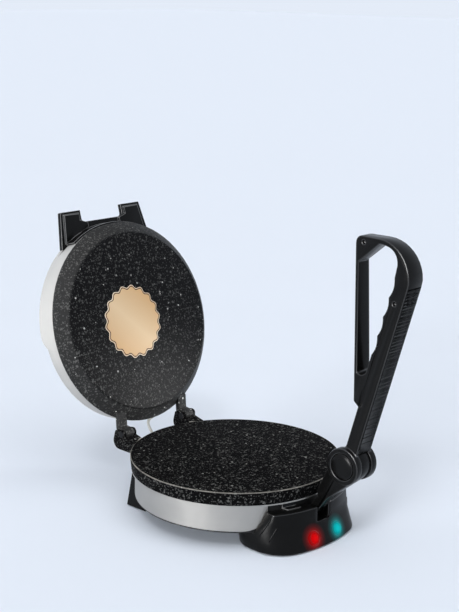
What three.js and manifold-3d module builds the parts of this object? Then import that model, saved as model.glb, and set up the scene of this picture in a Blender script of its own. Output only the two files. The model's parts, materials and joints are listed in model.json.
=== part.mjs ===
// Electric roti maker: a fixed lower cooking plate on a low base, an upper cooking plate in a lid that
// is hinged at the back, and a press arm with a loop handle at the front. Millimetres, +Z up. The lid
// swings about the X axis at the back (+Y) and the press arm about the X axis at the front (-Y).

import * as THREE from 'three';
import { mergeVertices } from 'three/addons/utils/BufferGeometryUtils.js';
import Module from 'manifold-3d';

const wasm = await Module();
wasm.setup();

// Clearances shared by all pieces
const seatGap = 0.3;
const slideGap = 0.4;
const cutOverrun = 2;
const weldDistance = 0.0001;

// Facets
const discFacets = 72;
const hiddenFacets = 60;
const tubeFacets = 6;
const pinFacets = 16;
const arcFacets = 10;
const bendFacets = 4;

// Cooking plates
const plateRadius = 115;
const plateTop = 65.5;
const plateEdgeHeight = 14.5;
const plateEdgeTaper = 1.4;
const plateEdgeChamfer = 0.8;
const plateWeb = 8;
const plateRimWall = 5;
const cookingGap = 1.5;
const upperFaceInset = 13.8;
const upperRimRise = 12.6;
const upperRimLip = 1.4;
const upperWeb = 7;
const upperWall = 6;
const upperWallTop = 3;

// Lid hinge
const hingeBehindPlate = 6.3;
const hingeAboveTop = 4.9;
const lidOpenDegrees = 106;
const hingeSpacing = 95;
const hingePinRadius = 2.2;
const hingePinHeadRadius = 3.6;
const hingePinHeadLength = 1.6;
const hingeEyeRadius = 4.6;
const lidLugWidth = 12.4;
const lidLugRadius = 2.4;
const lidLugBendInset = 6.2;
const lidLugBendRise = 8.6;
const lidLugRootInset = 22;
const lidLugRootRise = 5.4;
const earThickness = 2.3;
const earHeelRadius = 3.2;
const earHeelReach = 8.6;
const knuckleRadius = 9.1;
const knuckleBehindHinge = 5.1;
const tongueRootRadius = 6.2;
const tongueRootInset = 18.4;

// Heating elements
const elementInset = 35;
const elementTubeRadius = 3.4;
const elementGapDegrees = 34;
const elementSteps = 30;

// Steel bands, trim and covers
const trimHeight = 1.4;
const trimInset = 0.2;
const trimWidth = 6.2;
const bandInset = 3.9;
const bandThickness = 1;
const bandBottom = 21.2;
const bandOpeningHalf = 54.2;
const bandCornerWidth = 22;
const bandCornerHeight = 20;
const trayLip = 1.2;
const trayLipInset = 0.4;
const trayWall = 1.6;
const lidBandInset = 1;
const lidBandHeight = 24.5;
const lidBandEndBehind = 14.7;
const lidBandCornerLength = 20;
const lidBandCornerHeight = 19;
const coverWall = 1.4;
const coverShoulder = 8;
const coverCrown = 3.4;
const coverCrownInset = 31;

// Lid fork that takes the press hub between its prongs
const forkGapHalf = 31;
const forkHalfWidth = 60;
const forkTipReach = 21;
const forkWebReach = 7.2;
const forkFillet = 4;
const forkHeelHalf = 67.5;
const forkHeelInset = 21;
const forkRise = 16.5;
const forkThickness = 5;
const forkFlangeThickness = 2.4;
const forkFlangeDrop = 13;
const forkFlangeDegrees = 62;
const forkPadHeight = 1.6;
const forkPadInset = 3;
const forkPadEdge = 1.2;
const forkPadFootShare = 0.9;

// Front housing, rear block and feet
const blockLift = 1.5;
const housingHalfWidth = 68;
const housingReach = 19;
const housingCornerRadius = 35;
const housingSideLength = 10.5;
const housingBackRadius = 32;
const housingFrontRadius = 158;
const housingTop = 42;
const housingTopHalf = 59;
const housingTopReach = 9.6;
const housingTopSideLength = 1;
const housingTopBackRadius = 20;
const housingTopRadius = 114;
const housingTopCornerRadius = 4;
const housingFaceHeight = 25;
const housingFacets = 8;
const slotHalfWidth = 9;
const slotSill = 25.5;
const rearHalfWidth = 77;
const rearCornerInset = 24;
const rearReachBehind = 7;
const rearTop = 45;
const rearTopInset = 3;
const rearSideInset = 6.5;
const rearFrontInset = 53;
const rearFacets = 10;
const bracketHalfSpan = 32;
const bracketWidth = 16;
const bracketThickness = 1.5;
const bracketReach = 7;
const bracketUpturn = 6;
const footPadRadius = 8;
const footPadInsetX = 20;
const footPadInsetY = 22;
const footPadHeight = 3;
const lampSpacing = 37.2;
const lampHeight = 11.6;
const lampRadius = 5.8;
const lampBezelRadius = 7;
const lampBezelDepth = 9;
const lampBezelProud = 0.6;
const lampDome = 1.2;
const glandOffset = 34;
const glandHeight = 22;
const glandRadius = 6.5;
const glandBore = 3.3;
const glandLength = 12;
const glandCollarRadius = 8.5;
const glandCollarLength = 3;

// Press arm
const armPivotForward = 0;
const armPivotHeight = 35;
const armHalfWidth = 7.5;
const armBossRadius = 5;
const armKneeForward = 11.3;
const armKneeRise = 16;
const armKneeRadius = 4.9;
const armElbowForward = 3.4;
const armElbowRise = 8.7;
const armElbowRadius = 7.9;
const hubForward = 28.9;
const hubRise = 37.1;
const armEyeRadius = 18;
const armPinRadius = 2.5;
const armPinHold = 6;

// Handle
const hubRadius = 19.4;
const hubHalfWidth = 16.4;
const hubClearance = 0.6;
const boltRadius = 4;
const capRadius = 13.4;
const capRimThickness = 2.2;
const capDome = 1.9;
const gripLeanDegrees = 16.1;
const gripFace = 9.6;
const neckBack = 5.6;
const gripHalfWidth = 12;
const gripTaperShare = 0.056;
const loopTop = 235.3;
const loopTopDrop = 34.3;
const loopTopRadius = 37.3;
const loopBulge = 1.5;
const loopCorner = 8.5;
const barTopY = 0;
const barFootY = 6.9;
const barFootHeight = 69.8;
const heelY = 12.9;
const heelHeight = 65.2;
const barThickness = 3.8;
const loopTopWall = 5.2;
const openingFootHeight = 99.8;
const openingFootRadius = 4;
const fingerFace = 6.2;
const fingerDepth = 2.3;
const fingerStartAbove = 24;
const fingerOverrun = 5.6;
const fingerCount = 4;
const fingerSteps = 6;
const gussetY = 29.2;
const gussetDrop = 20.5;
const openingArcY = 51.5;
const openingArcDrop = 22.1;
const insertHalfWidth = 9.8;
const insertStart = 25;
const insertDepth = 1.8;
const ribPitch = 3.55;
const ribHeight = 0.9;
const ribCrestShare = 0.45;
const ribFlankShare = 0.15;
const screwHoleRadius = 2.1;
const screwHoleDepth = 3.5;
const screwTopDrop = 6;
const screwTopBack = 10;
const screwLowAlong = 70;
const screwLowBack = 4;

// Lead between base and lid
const leadRadius = 1.7;
const leadSteps = 14;
const leadX = 6;
const leadLidX = 18;
const leadFootShare = 0.55;

// Derived heights and places
const underPlate = plateTop - plateEdgeHeight;
const plateFootRadius = plateRadius - plateEdgeTaper;
const bandRadius = plateFootRadius - bandInset;
const elementRadius = plateRadius - elementInset;
const upperFaceRadius = plateRadius - upperFaceInset;
const hingeY = plateRadius + hingeBehindPlate;
const hingeZ = plateTop + hingeAboveTop;
const upperFace = plateTop + cookingGap;
const upperRim = upperFace + upperRimRise;
const upperBack = upperRim + upperRimLip;
const trimTop = underPlate - seatGap;
const trimBottom = trimTop - trimHeight;
const bandTop = trimBottom - seatGap;
const trayBottom = bandBottom - seatGap - trayLip;
const trayRadius = bandRadius - bandThickness - seatGap;
const blockClearRadius = bandRadius + slideGap;
const lidBandRadius = plateRadius - lidBandInset;
const lidBandBottom = upperBack + seatGap;
const lidBandTop = lidBandBottom + lidBandHeight;
const coverRadius = lidBandRadius - bandThickness - seatGap;
const coverTop = lidBandTop + coverCrown;
const hinge = { y: hingeY, z: hingeZ };
const armPivot = { y: -(plateRadius + armPivotForward), z: armPivotHeight };
const armKnee = { y: armPivot.y - armKneeForward, z: armPivot.z + armKneeRise };
const armElbow = { y: armKnee.y - armElbowForward, z: armKnee.z + armElbowRise };
const hub = { y: armElbow.y - hubForward, z: armElbow.z + hubRise };
const gripLength = loopTop - loopTopDrop;
const fingerStart = openingFootHeight + fingerStartAbove;
const fingerPitch = (gripLength + fingerOverrun - fingerStart) / fingerCount;
const housingFront = plateRadius + housingReach;
const housingTopFront = plateRadius + housingTopReach;
const rearCornerBack = plateRadius - rearCornerInset;
const rearReach = plateRadius + rearReachBehind;
const rearFront = plateRadius - rearFrontInset;

// Turning geometry into solids and back

function closedTriangles(geometry) {
  const plain = geometry.clone();
  plain.deleteAttribute('normal');
  plain.deleteAttribute('uv');
  const merged = mergeVertices(plain, weldDistance);
  const kept = [];
  const index = merged.index.array;
  for (let i = 0; i < index.length; i += 3) {
    const [a, b, c] = [index[i], index[i + 1], index[i + 2]];
    if (a !== b && b !== c && c !== a) kept.push(a, b, c);
  }
  merged.setIndex(kept);
  return merged;
}

function signedVolume(geometry) {
  const position = geometry.attributes.position;
  const index = geometry.index.array;
  const [a, b, c] = [new THREE.Vector3(), new THREE.Vector3(), new THREE.Vector3()];
  let volume = 0;
  for (let i = 0; i < index.length; i += 3) {
    a.fromBufferAttribute(position, index[i]);
    b.fromBufferAttribute(position, index[i + 1]);
    c.fromBufferAttribute(position, index[i + 2]);
    volume += a.dot(b.cross(c)) / 6;
  }
  return volume;
}

function outward(geometry) {
  const merged = closedTriangles(geometry);
  if (signedVolume(merged) < 0) {
    const index = Array.from(merged.index.array);
    for (let i = 0; i < index.length; i += 3) [index[i], index[i + 1]] = [index[i + 1], index[i]];
    merged.setIndex(index);
  }
  return merged;
}

function solid(geometry) {
  const closed = outward(geometry);
  return new wasm.Manifold(new wasm.Mesh({
    numProp: 3,
    vertProperties: new Float32Array(closed.attributes.position.array),
    triVerts: new Uint32Array(closed.index.array),
  }));
}

function geometryOf(body) {
  const mesh = body.getMesh();
  const geometry = new THREE.BufferGeometry();
  geometry.setAttribute('position', new THREE.BufferAttribute(new Float32Array(mesh.vertProperties), mesh.numProp));
  geometry.setIndex(new THREE.BufferAttribute(new Uint32Array(mesh.triVerts), 1));
  geometry.computeVertexNormals();
  return geometry;
}

function joined(...geometries) {
  return geometryOf(geometries.map(solid).reduce((whole, piece) => whole.add(piece)));
}

function cut(geometry, ...tools) {
  return geometryOf(tools.map(solid).reduce((whole, piece) => whole.subtract(piece), solid(geometry)));
}

// Basic forms

function revolve(profile, facets = discFacets) {
  const points = profile.map(([radius, height]) => new THREE.Vector2(radius, height));
  return new THREE.LatheGeometry(points, facets).rotateX(Math.PI / 2);
}

function disc(radius, bottom, top, facets = discFacets) {
  return revolve([[0, bottom], [radius, bottom], [radius, top], [0, top]], facets);
}

function upright(shape, bottom, top, curveSegments = arcFacets) {
  const depth = top - bottom;
  const geometry = new THREE.ExtrudeGeometry(shape, { depth, bevelEnabled: false, curveSegments });
  return geometry.translate(0, 0, bottom);
}

// A shape drawn in (y, z) and extruded along X
function across(shape, left, right, curveSegments = arcFacets) {
  const depth = right - left;
  const geometry = new THREE.ExtrudeGeometry(shape, { depth, bevelEnabled: false, curveSegments });
  const turn = new THREE.Matrix4().makeBasis(
    new THREE.Vector3(0, 1, 0),
    new THREE.Vector3(0, 0, 1),
    new THREE.Vector3(1, 0, 0),
  );
  return geometry.applyMatrix4(turn).translate(left, 0, 0);
}

function rodAcross(centre, radius, left, right, facets = pinFacets) {
  const rod = new THREE.CylinderGeometry(radius, radius, right - left, facets).rotateZ(Math.PI / 2);
  return rod.translate((left + right) / 2, centre.y, centre.z);
}

function block(left, right, front, back, bottom, top) {
  const box = new THREE.BoxGeometry(right - left, back - front, top - bottom);
  return box.translate((left + right) / 2, (front + back) / 2, (bottom + top) / 2);
}

function shapeOf(points) {
  return new THREE.Shape(points.map(([x, y]) => new THREE.Vector2(x, y)));
}

// The outline that a belt round a set of circles would take
function beltShape(circles, facets = pinFacets * 2) {
  const points = [];
  for (const { y, z, radius } of circles) {
    for (let i = 0; i < facets; i += 1) {
      const angle = (i / facets) * 2 * Math.PI;
      points.push([y + radius * Math.cos(angle), z + radius * Math.sin(angle)]);
    }
  }
  points.sort((a, b) => a[0] - b[0] || a[1] - b[1]);
  const turns = (o, a, b) => (a[0] - o[0]) * (b[1] - o[1]) - (a[1] - o[1]) * (b[0] - o[0]);
  const chain = (list) => {
    const hull = [];
    for (const point of list) {
      while (hull.length > 1 && turns(hull[hull.length - 2], hull[hull.length - 1], point) <= 0) hull.pop();
      hull.push(point);
    }
    hull.pop();
    return hull;
  };
  return shapeOf([...chain(points), ...chain(points.slice().reverse())]);
}

// A solid that runs through outlines with the same number of points, each at its own height
function loft(layers) {
  const outlines = layers.map(({ points, z }) => {
    const outline = points.map(([x, y]) => new THREE.Vector2(x, y));
    if (THREE.ShapeUtils.isClockWise(outline)) outline.reverse();
    return { outline, z };
  });
  const count = outlines[0].outline.length;
  const positions = outlines.flatMap(({ outline, z }) => outline.flatMap(({ x, y }) => [x, y, z]));
  const index = [];
  for (let layer = 0; layer + 1 < outlines.length; layer += 1) {
    for (let i = 0; i < count; i += 1) {
      const next = (i + 1) % count;
      const [a, b] = [layer * count + i, layer * count + next];
      const [c, d] = [a + count, b + count];
      index.push(a, b, d, a, d, c);
    }
  }
  const last = (outlines.length - 1) * count;
  const foot = THREE.ShapeUtils.triangulateShape(outlines[0].outline, []);
  const head = THREE.ShapeUtils.triangulateShape(outlines[outlines.length - 1].outline, []);
  for (const [a, b, c] of foot) index.push(c, b, a);
  for (const [a, b, c] of head) index.push(last + a, last + b, last + c);
  const geometry = new THREE.BufferGeometry();
  geometry.setAttribute('position', new THREE.Float32BufferAttribute(positions, 3));
  geometry.setIndex(index);
  return geometry;
}

// A tube along a curve with closed ends
function tube(curve, radius, steps, sides = tubeFacets) {
  const ring = new THREE.Shape();
  ring.absarc(0, 0, radius, 0, 2 * Math.PI);
  const points = ring.getPoints(sides / 2).slice(0, -1);
  return new THREE.ExtrudeGeometry(new THREE.Shape(points), { steps, extrudePath: curve, bevelEnabled: false });
}

function sector(inner, outer, halfAngle, facets = arcFacets * 3) {
  const points = [];
  for (let i = 0; i <= facets; i += 1) {
    const angle = -Math.PI / 2 - halfAngle + (2 * halfAngle * i) / facets;
    points.push([outer * Math.cos(angle), outer * Math.sin(angle)]);
  }
  for (let i = facets; i >= 0; i -= 1) {
    const angle = -Math.PI / 2 - halfAngle + (2 * halfAngle * i) / facets;
    points.push([inner * Math.cos(angle), inner * Math.sin(angle)]);
  }
  return shapeOf(points);
}

function mirrored(points) {
  return [...points, ...points.slice().reverse().map(([x, y]) => [-x, y])];
}

// Materials

function material(color, roughness, metalness) {
  return new THREE.MeshStandardMaterial({ color, roughness, metalness });
}

const granite = material(0x26272a, 0.55, 0.1);
const steel = material(0xd5d6d6, 0.25, 1);
const brightSteel = material(0xc8c9ca, 0.3, 1);
const blackPlastic = material(0x1b1c1f, 0.45, 0);
const darkSheet = material(0x202124, 0.6, 0.3);
const rubber = material(0x151515, 0.8, 0);
const ribbed = material(0x222326, 0.6, 0);
const redLens = material(0xf02018, 0.25, 0);
const tealLens = material(0x18c8bc, 0.25, 0);
const heater = material(0x6a645c, 0.5, 0.8);
const sleeve = material(0xc9cbc6, 0.8, 0);

const part = new THREE.Group();
const lid = new THREE.Group();

function add(name, geometry, look, home = part) {
  const mesh = new THREE.Mesh(geometryOf(solid(geometry)), look);
  mesh.name = name;
  home.add(mesh);
}

// Places of the two hinge lug pairs along X
const hingePairs = [
  { side: 'left', x: -hingeSpacing / 2 },
  { side: 'right', x: hingeSpacing / 2 },
];

// Lower plate with its two hinge seats

function lowerPlateDisc() {
  const rimInside = plateFootRadius - plateRimWall;
  return revolve([
    [0, plateTop],
    [plateRadius - plateEdgeChamfer, plateTop],
    [plateRadius, plateTop - plateEdgeChamfer],
    [plateFootRadius, underPlate],
    [rimInside, underPlate],
    [rimInside, plateTop - plateWeb],
    [0, plateTop - plateWeb],
  ]);
}

const earInside = lidLugWidth / 2 + slideGap;
const earOutside = earInside + earThickness;
const knuckle = { y: hinge.y + knuckleBehindHinge, z: underPlate + seatGap + slideGap + knuckleRadius };

// A tongue from the rim back to a knuckle under the pin, with an ear each side of the lug's slot
function hingeSeat(pairX) {
  const [left, right] = [pairX - earOutside, pairX + earOutside];
  const root = {
    y: hinge.y - tongueRootInset,
    z: knuckle.z - knuckleRadius + tongueRootRadius,
    radius: tongueRootRadius,
  };
  const tongue = across(beltShape([root, { ...knuckle, radius: knuckleRadius }]), left, right);
  const ears = across(beltShape([
    { ...hinge, radius: hingeEyeRadius },
    { ...knuckle, radius: knuckleRadius },
    { y: hinge.y + earHeelReach, z: hinge.z, radius: earHeelRadius },
  ]), left, right);
  const slot = block(
    pairX - earInside,
    pairX + earInside,
    hinge.y - hingeEyeRadius - slideGap,
    knuckle.y + knuckleRadius + cutOverrun,
    hinge.z - hingeEyeRadius - slideGap,
    hinge.z + hingeEyeRadius + cutOverrun,
  );
  return cut(joined(tongue, ears), slot);
}

function lowerPlate() {
  const pieces = [lowerPlateDisc()];
  const holes = [];
  for (const { x } of hingePairs) {
    pieces.push(hingeSeat(x));
    const reach = earOutside + cutOverrun;
    holes.push(rodAcross(hinge, hingePinRadius + seatGap, x - reach, x + reach));
  }
  return cut(joined(...pieces), ...holes);
}

add('lower_plate', lowerPlate(), granite);

// Hinge pins, headed on the outside of each near ear

function hingePin(x) {
  const near = x - earOutside - seatGap;
  const far = x + earOutside + hingePinHeadLength;
  const shank = rodAcross(hinge, hingePinRadius, near - hingePinHeadLength / 2, far);
  const head = rodAcross(hinge, hingePinHeadRadius, near - hingePinHeadLength, near);
  return joined(shank, head);
}

for (const { side, x } of hingePairs) add(`hinge_pin_${side}`, hingePin(x), brightSteel);

// Tubular heating elements, open where their terminals stand

function elementRing(height) {
  const gap = (elementGapDegrees * Math.PI) / 180;
  const arc = new THREE.Curve();
  arc.getPoint = (share, target = new THREE.Vector3()) => {
    const angle = Math.PI / 2 + gap / 2 + share * (2 * Math.PI - gap);
    return target.set(elementRadius * Math.cos(angle), elementRadius * Math.sin(angle), height);
  };
  return tube(arc, elementTubeRadius, elementSteps);
}

add('lower_element', elementRing(plateTop - plateWeb - seatGap - elementTubeRadius), heater);

// Base shell: trim ring under the plate, open steel band and closed tray

function trimRing() {
  const outer = plateFootRadius - trimInset;
  const inner = outer - trimWidth;
  return revolve([[inner, trimBottom], [outer, trimBottom], [outer, trimTop], [inner, trimTop], [inner, trimBottom]]);
}

add('lower_trim_ring', trimRing(), steel);

// Half outline of an opening whose two lower corners are swept out, drawn in (x, z)
function sweptOpening(half, bottom, top, cornerWidth, cornerHeight) {
  const points = [[half, top + cutOverrun]];
  for (let i = 0; i <= arcFacets; i += 1) {
    const angle = (i / arcFacets) * (Math.PI / 2);
    points.push([
      half + cornerWidth * (1 - Math.cos(angle)),
      bottom + cornerHeight * (1 - Math.sin(angle)),
    ]);
  }
  points.push([half + cornerWidth, bottom - cutOverrun]);
  return points;
}

function bandRing(radius, bottom, top) {
  const inner = radius - bandThickness;
  return revolve([[inner, bottom], [radius, bottom], [radius, top], [inner, top], [inner, bottom]]);
}

function baseBand() {
  const half = sweptOpening(bandOpeningHalf, bandBottom, bandTop, bandCornerWidth, bandCornerHeight);
  const depth = bandRadius + cutOverrun;
  const opening = new THREE.ExtrudeGeometry(shapeOf(mirrored(half)), { depth, bevelEnabled: false });
  return cut(bandRing(bandRadius, bandBottom, bandTop), opening.rotateX(Math.PI / 2));
}

add('base_band', baseBand(), steel);

function baseTray() {
  const lip = bandRadius - trayLipInset;
  const floor = trayBottom + trayLip;
  return revolve([
    [0, trayBottom],
    [lip, trayBottom],
    [lip, floor],
    [trayRadius, floor],
    [trayRadius, bandTop],
    [trayRadius - trayWall, bandTop],
    [trayRadius - trayWall, floor],
    [0, floor],
  ], hiddenFacets);
}

add('base_tray', baseTray(), darkSheet);

// Front housing, lofted from a wide foot to a narrower drafted top

function roundedFront(halfWidth, front, frontRadius, cornerRadius, sideLength, backRadius) {
  const centreY = -front + frontRadius;
  const cornerX = halfWidth - cornerRadius;
  const cornerAngle = Math.asin(cornerX / (frontRadius - cornerRadius));
  const cornerY = centreY - Math.sqrt((frontRadius - cornerRadius) ** 2 - cornerX ** 2);
  const points = [];
  for (let i = 0; i <= housingFacets; i += 1) {
    const angle = (i / housingFacets) * cornerAngle;
    points.push([frontRadius * Math.sin(angle), centreY - frontRadius * Math.cos(angle)]);
  }
  for (let i = 1; i <= housingFacets; i += 1) {
    const angle = cornerAngle + (i / housingFacets) * (Math.PI / 2 - cornerAngle);
    points.push([cornerX + cornerRadius * Math.sin(angle), cornerY - cornerRadius * Math.cos(angle)]);
  }
  const backX = halfWidth - backRadius;
  for (let i = 0; i <= housingFacets; i += 1) {
    const angle = (i / housingFacets) * (Math.PI / 2);
    points.push([
      backX + backRadius * Math.cos(angle),
      cornerY + sideLength + backRadius * Math.sin(angle),
    ]);
  }
  return mirroredRing(points);
}

// The full ring of a half outline whose first point lies on the middle line
function mirroredRing(points) {
  const left = points.slice(1).reverse().map(([x, y]) => [-x, y]);
  return [...points, ...left];
}

// The face leans back as far as the face height and stands upright above it
function faceShare(z) {
  return Math.min(1, (z - blockLift) / (housingFaceHeight - blockLift));
}

function housingLayer(sideShare, z) {
  const between = (foot, top, share = sideShare) => foot + (top - foot) * share;
  return {
    z,
    points: roundedFront(
      between(housingHalfWidth, housingTopHalf),
      between(housingFront, housingTopFront, faceShare(z)),
      between(housingFrontRadius, housingTopRadius),
      between(housingCornerRadius, housingTopCornerRadius),
      between(housingSideLength, housingTopSideLength),
      between(housingBackRadius, housingTopBackRadius),
    ),
  };
}

// How far the sides have swept in at each share of the height between the foot and the face height, and
// between the face height and the top
const lowerSweep = [
  { riseShare: 0, sideShare: 0 },
  { riseShare: 0.5, sideShare: 0.05 },
  { riseShare: 0.8, sideShare: 0.18 },
  { riseShare: 1, sideShare: 0.38 },
];
const upperSweep = [
  { riseShare: 0.35, sideShare: 0.72 },
  { riseShare: 1, sideShare: 1 },
];

// The arm's slot, open at the top, the front and the back
function armSlot() {
  const back = -blockClearRadius + cutOverrun;
  const front = -housingFront - cutOverrun;
  return block(-slotHalfWidth, slotHalfWidth, front, back, slotSill, housingTop + cutOverrun);
}

const lampPlaces = [
  { name: 'red', x: -lampSpacing / 2, look: redLens },
  { name: 'green', x: lampSpacing / 2, look: tealLens },
];

// The lamps look out square to the leaning face
const lampLean = Math.atan((housingFront - housingTopFront) / (housingFaceHeight - blockLift));
const lampFaceY = -housingFront
  + (housingFront - housingTopFront) * faceShare(lampHeight)
  + housingFrontRadius - Math.sqrt(housingFrontRadius ** 2 - (lampSpacing / 2) ** 2);

function onFace(geometry, x) {
  return geometry.rotateX(Math.PI / 2 - lampLean).translate(x, lampFaceY, lampHeight);
}

function lampRod(x, radius, back, front) {
  return onFace(disc(radius, back, front, pinFacets), x);
}

const footPads = [
  { name: 'front_left', x: -(housingHalfWidth - footPadInsetX), y: -(housingFront - footPadInsetY) },
  { name: 'front_right', x: housingHalfWidth - footPadInsetX, y: -(housingFront - footPadInsetY) },
  { name: 'rear_left', x: -(rearHalfWidth - footPadInsetX), y: rearCornerBack - footPadInsetY / 2 },
  { name: 'rear_right', x: rearHalfWidth - footPadInsetX, y: rearCornerBack - footPadInsetY / 2 },
];

function padRecess({ x, y }) {
  const recess = disc(footPadRadius + seatGap, -cutOverrun, footPadHeight + seatGap, pinFacets);
  return recess.translate(x, y, 0);
}

function trayClearance() {
  return disc(blockClearRadius, trayBottom - seatGap, housingTop + rearTop, discFacets);
}

function frontHousing() {
  const sweep = (steps, foot, top) => steps.map(({ riseShare, sideShare }) => (
    housingLayer(sideShare, foot + (top - foot) * riseShare)
  ));
  const body = loft([
    ...sweep(lowerSweep, blockLift, housingFaceHeight),
    ...sweep(upperSweep, housingFaceHeight, housingTop),
  ]);
  const lampHoles = lampPlaces.map(({ x }) => (
    lampRod(x, lampBezelRadius + seatGap, -lampBezelDepth - seatGap, lampBezelRadius)
  ));
  const hold = slotHalfWidth + armPinHold + seatGap;
  return cut(
    body,
    trayClearance(),
    armSlot(),
    rodAcross(armPivot, armPinRadius + seatGap, -hold, hold),
    ...lampHoles,
    ...footPads.slice(0, 2).map(padRecess),
  );
}

add('front_housing', frontHousing(), blackPlastic);

// Pilot lamps: a bezel sleeve with a domed lens in each

function lampBezel(x) {
  const sleeveBody = lampRod(x, lampBezelRadius, -lampBezelDepth, lampBezelProud);
  const bore = lampRod(x, lampRadius + seatGap, -lampBezelDepth / 2, lampBezelProud + cutOverrun);
  return cut(sleeveBody, bore);
}

// The outline of a button: a straight rim up to its seat, then a low dome
function buttonProfile(radius, foot, seat, dome) {
  const points = [[0, foot], [radius, foot], [radius, seat]];
  for (let i = 1; i < bendFacets; i += 1) {
    const angle = (i / bendFacets) * (Math.PI / 2);
    points.push([radius * Math.cos(angle), seat + dome * Math.sin(angle)]);
  }
  return [...points, [0, seat + dome]];
}

function lampLens(x) {
  const foot = -lampBezelDepth / 2 + seatGap;
  return onFace(revolve(buttonProfile(lampRadius, foot, lampBezelProud, lampDome), pinFacets), x);
}

for (const { name, x, look } of lampPlaces) {
  add(`${name}_lamp_bezel`, lampBezel(x), blackPlastic);
  add(`${name}_lamp_lens`, lampLens(x), look);
}

// Steel brackets that tie the housing top to the tray

function housingBracket(x) {
  const rest = housingTop + seatGap;
  const wall = trayRadius + seatGap;
  const outer = blockClearRadius + bracketReach;
  const [left, right] = [x - bracketWidth / 2, x + bracketWidth / 2];
  const clip = (inner, reach, bottom, top) => {
    const ring = revolve([[inner, bottom], [reach, bottom], [reach, top], [inner, top], [inner, bottom]]);
    const slice = block(left, right, -outer - cutOverrun, 0, bottom - cutOverrun, top + cutOverrun);
    return geometryOf(solid(ring).intersect(solid(slice)));
  };
  const tongue = clip(wall, outer, rest, rest + bracketThickness);
  const upturn = clip(wall, wall + bracketThickness, rest, rest + bracketUpturn);
  return joined(tongue, upturn);
}

add('housing_bracket_left', housingBracket(-bracketHalfSpan), brightSteel);
add('housing_bracket_right', housingBracket(bracketHalfSpan), brightSteel);

// Rear block that carries the back of the base and takes the mains lead

function rearOutline(sideInset, backInset) {
  const half = rearHalfWidth - sideInset;
  const corner = rearCornerBack - backInset;
  const reach = rearReach - backInset;
  const sagitta = reach - corner;
  const radius = (half ** 2 + sagitta ** 2) / (2 * sagitta);
  const halfAngle = Math.asin(half / radius);
  const points = [];
  for (let i = 0; i <= rearFacets; i += 1) {
    const angle = (i / rearFacets) * halfAngle;
    points.push([radius * Math.sin(angle), reach - radius + radius * Math.cos(angle)]);
  }
  points.push([half, rearFront]);
  return mirroredRing(points);
}

const gland = { x: glandOffset, y: rearReach - rearTopInset, z: glandHeight };

function rodBack(place, radius, front, back, facets = pinFacets) {
  const rod = new THREE.CylinderGeometry(radius, radius, back - front, facets);
  return rod.translate(place.x, (front + back) / 2, place.z);
}

function rearBlock() {
  const body = loft([
    { z: blockLift, points: rearOutline(0, 0) },
    { z: rearTop, points: rearOutline(rearSideInset, rearTopInset) },
  ]);
  const socket = rodBack(gland, glandRadius + seatGap, gland.y - glandLength, gland.y + glandLength);
  return cut(body, trayClearance(), socket, ...footPads.slice(2).map(padRecess));
}

add('rear_block', rearBlock(), blackPlastic);

function cordGland() {
  const seat = gland.y - glandLength + seatGap;
  const stem = rodBack(gland, glandRadius, seat, gland.y);
  const collar = rodBack(gland, glandCollarRadius, gland.y - seatGap, gland.y + glandCollarLength);
  const bore = rodBack(gland, glandBore, seat + glandCollarLength, gland.y + glandCollarLength + cutOverrun);
  return cut(joined(stem, collar), bore);
}

add('cord_gland', cordGland(), rubber);

for (const pad of footPads) {
  const shape = disc(footPadRadius, 0, footPadHeight, pinFacets).translate(pad.x, pad.y, 0);
  add(`foot_${pad.name}`, shape, rubber);
}

// Press arm: a boss in the housing slot, a cranked shank and the hub eye

function pressArm() {
  const boss = { ...armPivot, radius: armBossRadius };
  const knee = { ...armKnee, radius: armKneeRadius };
  const elbow = { ...armElbow, radius: armElbowRadius };
  const eye = { ...hub, radius: armEyeRadius };
  const limb = (from, to) => across(beltShape([from, to]), -armHalfWidth, armHalfWidth);
  const reach = armHalfWidth + cutOverrun;
  return cut(
    joined(limb(boss, knee), limb(knee, elbow), limb(elbow, eye)),
    rodAcross(armPivot, armPinRadius + seatGap, -reach, reach),
    rodAcross(hub, boltRadius + seatGap, -reach, reach),
  );
}

add('press_arm', pressArm(), blackPlastic);

const armPinHalf = slotHalfWidth + armPinHold;
add('arm_pin', rodAcross(armPivot, armPinRadius, -armPinHalf, armPinHalf), brightSteel);

// Handle: outline in (y, z) from the hub centre. "along" runs up the ribbed grip, "out" away from the lid

const lean = (gripLeanDegrees * Math.PI) / 180;

function onGrip(along, out) {
  return [
    hub.y - along * Math.sin(lean) - out * Math.cos(lean),
    hub.z + along * Math.cos(lean) - out * Math.sin(lean),
  ];
}

function fromHub(back, rise) {
  return [hub.y - back, hub.z + rise];
}

// How far a place lies out from the hub centre, square to the grip
function outOf(y, z) {
  return -(y - hub.y) * Math.cos(lean) - (z - hub.z) * Math.sin(lean);
}

function arcBetween(from, corner, to, facets = arcFacets) {
  const curve = new THREE.QuadraticBezierCurve(
    new THREE.Vector2(...from),
    new THREE.Vector2(...corner),
    new THREE.Vector2(...to),
  );
  return curve.getPoints(facets).map(({ x, y }) => [x, y]);
}

function handleOutline() {
  const gripTop = onGrip(gripLength, gripFace);
  const topHeight = hub.z + loopTop;
  const crown = [];
  for (let i = 0; i <= arcFacets; i += 1) {
    const angle = Math.PI - (i / arcFacets) * (Math.PI / 2);
    crown.push([
      gripTop[0] - loopBulge + loopTopRadius * (1 + Math.cos(angle)),
      topHeight - loopTopRadius * (1 - Math.sin(angle)),
    ]);
  }
  const topBack = [hub.y - barTopY, topHeight];
  const rearTop = [topBack[0], topHeight - loopCorner];
  return shapeOf([
    onGrip(0, gripFace),
    gripTop,
    ...crown,
    ...arcBetween([topBack[0] - loopCorner, topHeight], topBack, rearTop, arcFacets / 2),
    fromHub(barFootY, barFootHeight),
    fromHub(heelY, heelHeight),
    onGrip(0, -neckBack),
  ]);
}

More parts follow.
